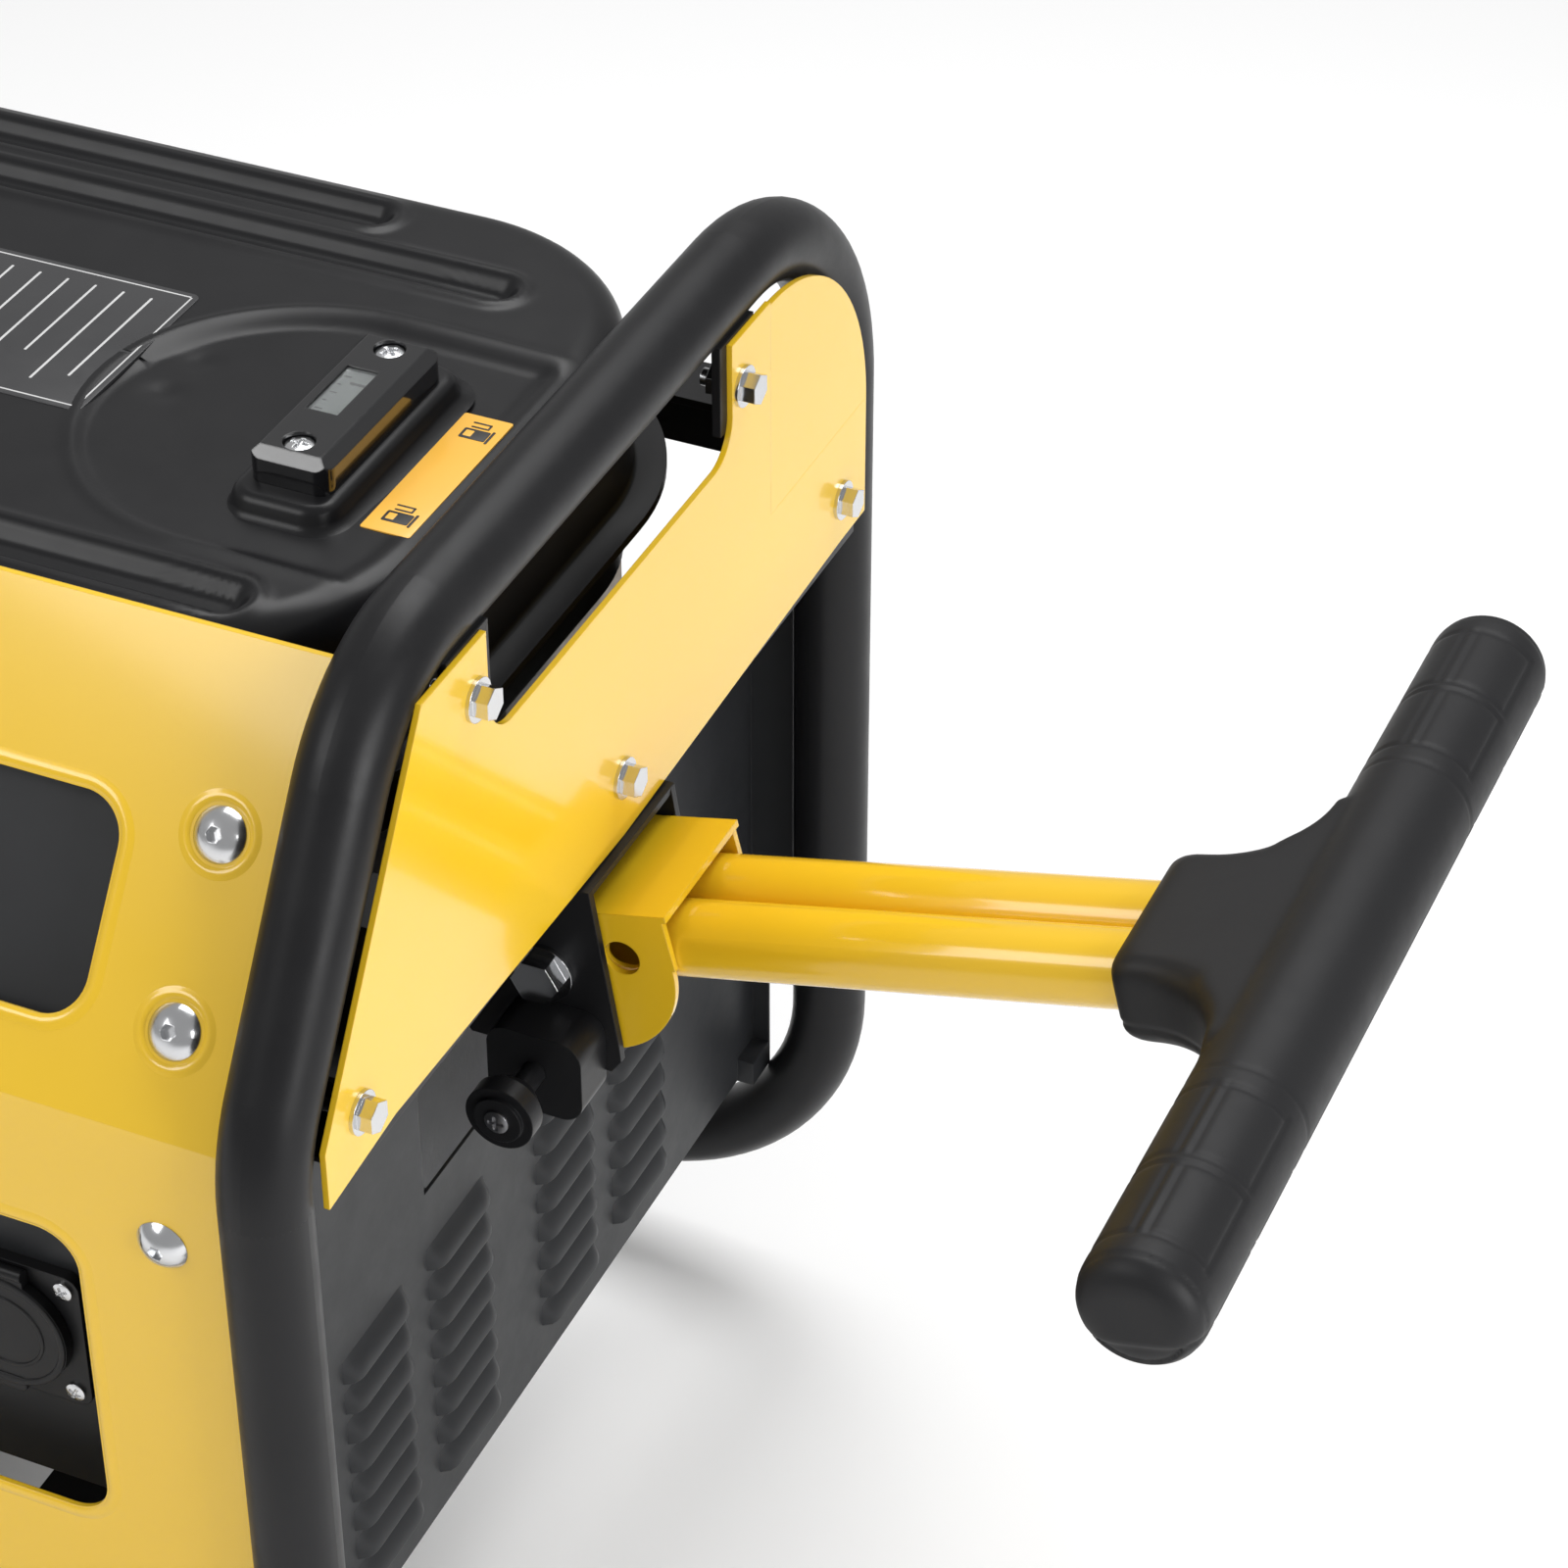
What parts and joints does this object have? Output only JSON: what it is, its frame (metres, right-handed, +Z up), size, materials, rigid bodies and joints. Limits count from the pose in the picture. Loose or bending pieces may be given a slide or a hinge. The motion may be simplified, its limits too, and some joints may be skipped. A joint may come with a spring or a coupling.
{
  "type": "portable petrol generator",
  "caption": "Open-frame petrol generator with a folding T-handle, two transport wheels, a steel tank with a fuel gauge, an air-cooled engine and a sloping socket panel",
  "frame": {"origin": "on the ground, under the middle of the bounding box with the handle raised", "axes": "+X points to the handle end, -Y to the socket panel, +Z up"},
  "size_m": [0.881, 0.568, 0.534],
  "materials": {
    "frame_black": "satin black powder coat",
    "yellow": "gloss golden yellow powder coat",
    "bolts": "bright zinc plate",
    "tank_black": "satin black paint on pressed steel",
    "rubber": "matt moulded rubber",
    "tyre": "matt tyre rubber",
    "alloy": "as-cast aluminium",
    "steel": "machined and laminated steel, heat tinted",
    "black_plastic": "fine textured black plastic",
    "gloss_black": "polished black plastic",
    "red_plastic": "moulded red plastic",
    "brass": "plain brass"
  },
  "bodies": {
    "frame": {"end_hoop_handle": "frame_black", "end_hoop_wheel": "frame_black", "base_rails": "frame_black", "cross_members": "frame_black", "tank_rails": "frame_black", "end_plate_handle": "yellow", "end_plate_wheel": "yellow", "end_plate_bolts": "bolts", "front_panel": "yellow", "front_panel_bolts": "bolts", "end_cover": "frame_black", "handle_bracket": "frame_black", "pivot_bolt": "bolts", "lock_housing": "black_plastic", "stand_brackets": "frame_black", "foot_pads": "rubber", "axle": "bolts", "tank_upper_shell": "tank_black", "tank_lower_shell": "tank_black", "tank_bushes": "rubber", "filler_neck": "alloy", "gauge_housing": "gloss_black", "fuel_tap": "alloy", "fuel_hose": "rubber", "crankcase": "alloy", "cylinder_barrel": "alloy", "rocker_cover": "black_plastic", "fan_shroud": "black_plastic", "recoil_housing": "black_plastic", "air_filter_case": "black_plastic", "air_filter_cover": "black_plastic", "carburettor": "alloy", "muffler": "steel", "engine_mounts": "rubber", "alternator_stator": "steel", "alternator_end_bell": "alloy", "control_box": "black_plastic", "control_face": "frame_black", "sockets": "black_plastic", "ground_terminal": "brass"},
    "handle": {"handle_yoke": "yellow", "handle_tubes": "yellow", "grip_shell_upper": "black_plastic", "grip_shell_lower": "black_plastic"},
    "lock_plunger": {"lock_knob": "black_plastic"},
    "tank_cap": {"fuel_cap": "black_plastic"},
    "tap_lever": {"fuel_tap_lever": "red_plastic"},
    "choke": {"choke_lever": "black_plastic"},
    "starter_grip": {"recoil_grip": "black_plastic"},
    "engine_rocker": {"engine_switch": "red_plastic"},
    "breaker": {"breaker_button": "black_plastic"},
    "lid_right": {"socket_lid_right": "black_plastic"},
    "lid_left": {"socket_lid_left": "black_plastic"},
    "wheel_left": {"tyre_left": "tyre", "rim_left": "black_plastic"},
    "wheel_right": {"tyre_right": "tyre", "rim_right": "black_plastic"},
    "dipstick": {"oil_dipstick": "black_plastic"},
    "rotor": {"crankshaft": "steel", "flywheel": "steel"}
  },
  "joints": [
    {"name": "handle_fold", "type": "hinge", "parent": "frame", "child": "handle", "pos_m": [0.17053, 0, 0.34], "axis": [0, 1, 0], "range_deg": [0, 104]},
    {"name": "lock_pin_slide", "type": "slide", "parent": "frame", "child": "lock_plunger", "axis": [0, 1, 0], "range_m": [0, 0.006]},
    {"name": "cap_turn", "type": "hinge", "parent": "frame", "child": "tank_cap", "pos_m": [-0.17547, 0.012, 0.507], "axis": [0, 0, 1], "range_deg": [-90, 0]},
    {"name": "tap_turn", "type": "hinge", "parent": "frame", "child": "tap_lever", "pos_m": [-0.28547, -0.06, 0.388], "axis": [0, 1, 0], "range_deg": [-90, 0]},
    {"name": "choke_turn", "type": "hinge", "parent": "frame", "child": "choke", "pos_m": [-0.23947, 0.142, 0.338], "axis": [0, 0, 1], "range_deg": [0, 40]},
    {"name": "starter_pull", "type": "slide", "parent": "frame", "child": "starter_grip", "axis": [0, -1, 0], "range_m": [0, 0.08]},
    {"name": "rocker_tip", "type": "hinge", "parent": "frame", "child": "engine_rocker", "pos_m": [0.04052, -0.16206, 0.43659], "axis": [1, 0, 0], "range_deg": [-6, 6]},
    {"name": "breaker_push", "type": "slide", "parent": "frame", "child": "breaker", "axis": [0, 0.8178, -0.5755], "range_m": [0, 0.003], "stiffness_N_per_m": 200},
    {"name": "lid_right_swing", "type": "hinge", "parent": "frame", "child": "lid_right", "pos_m": [0.06053, -0.1927, 0.305], "axis": [-1, 0, 0], "range_deg": [0, 110], "stiffness_Nm_per_rad": 0.02},
    {"name": "lid_left_swing", "type": "hinge", "parent": "frame", "child": "lid_left", "pos_m": [-0.01547, -0.1927, 0.305], "axis": [-1, 0, 0], "range_deg": [0, 110], "stiffness_Nm_per_rad": 0.02},
    {"name": "wheel_left_spin", "type": "hinge", "parent": "frame", "child": "wheel_left", "pos_m": [-0.34547, 0.254, 0.095], "axis": [0, 1, 0], "continuous": true},
    {"name": "wheel_right_spin", "type": "hinge", "parent": "frame", "child": "wheel_right", "pos_m": [-0.34547, -0.254, 0.095], "axis": [0, 1, 0], "continuous": true},
    {"name": "dipstick_turn", "type": "hinge", "parent": "frame", "child": "dipstick", "pos_m": [-0.14547, -0.067, 0.173], "axis": [0, -0.824, 0.5665], "range_deg": [-90, 0]},
    {"name": "crank_spin", "type": "hinge", "parent": "frame", "child": "rotor", "pos_m": [-0.11547, 0.025, 0.217], "axis": [1, 0, 0], "continuous": true}
  ]
}
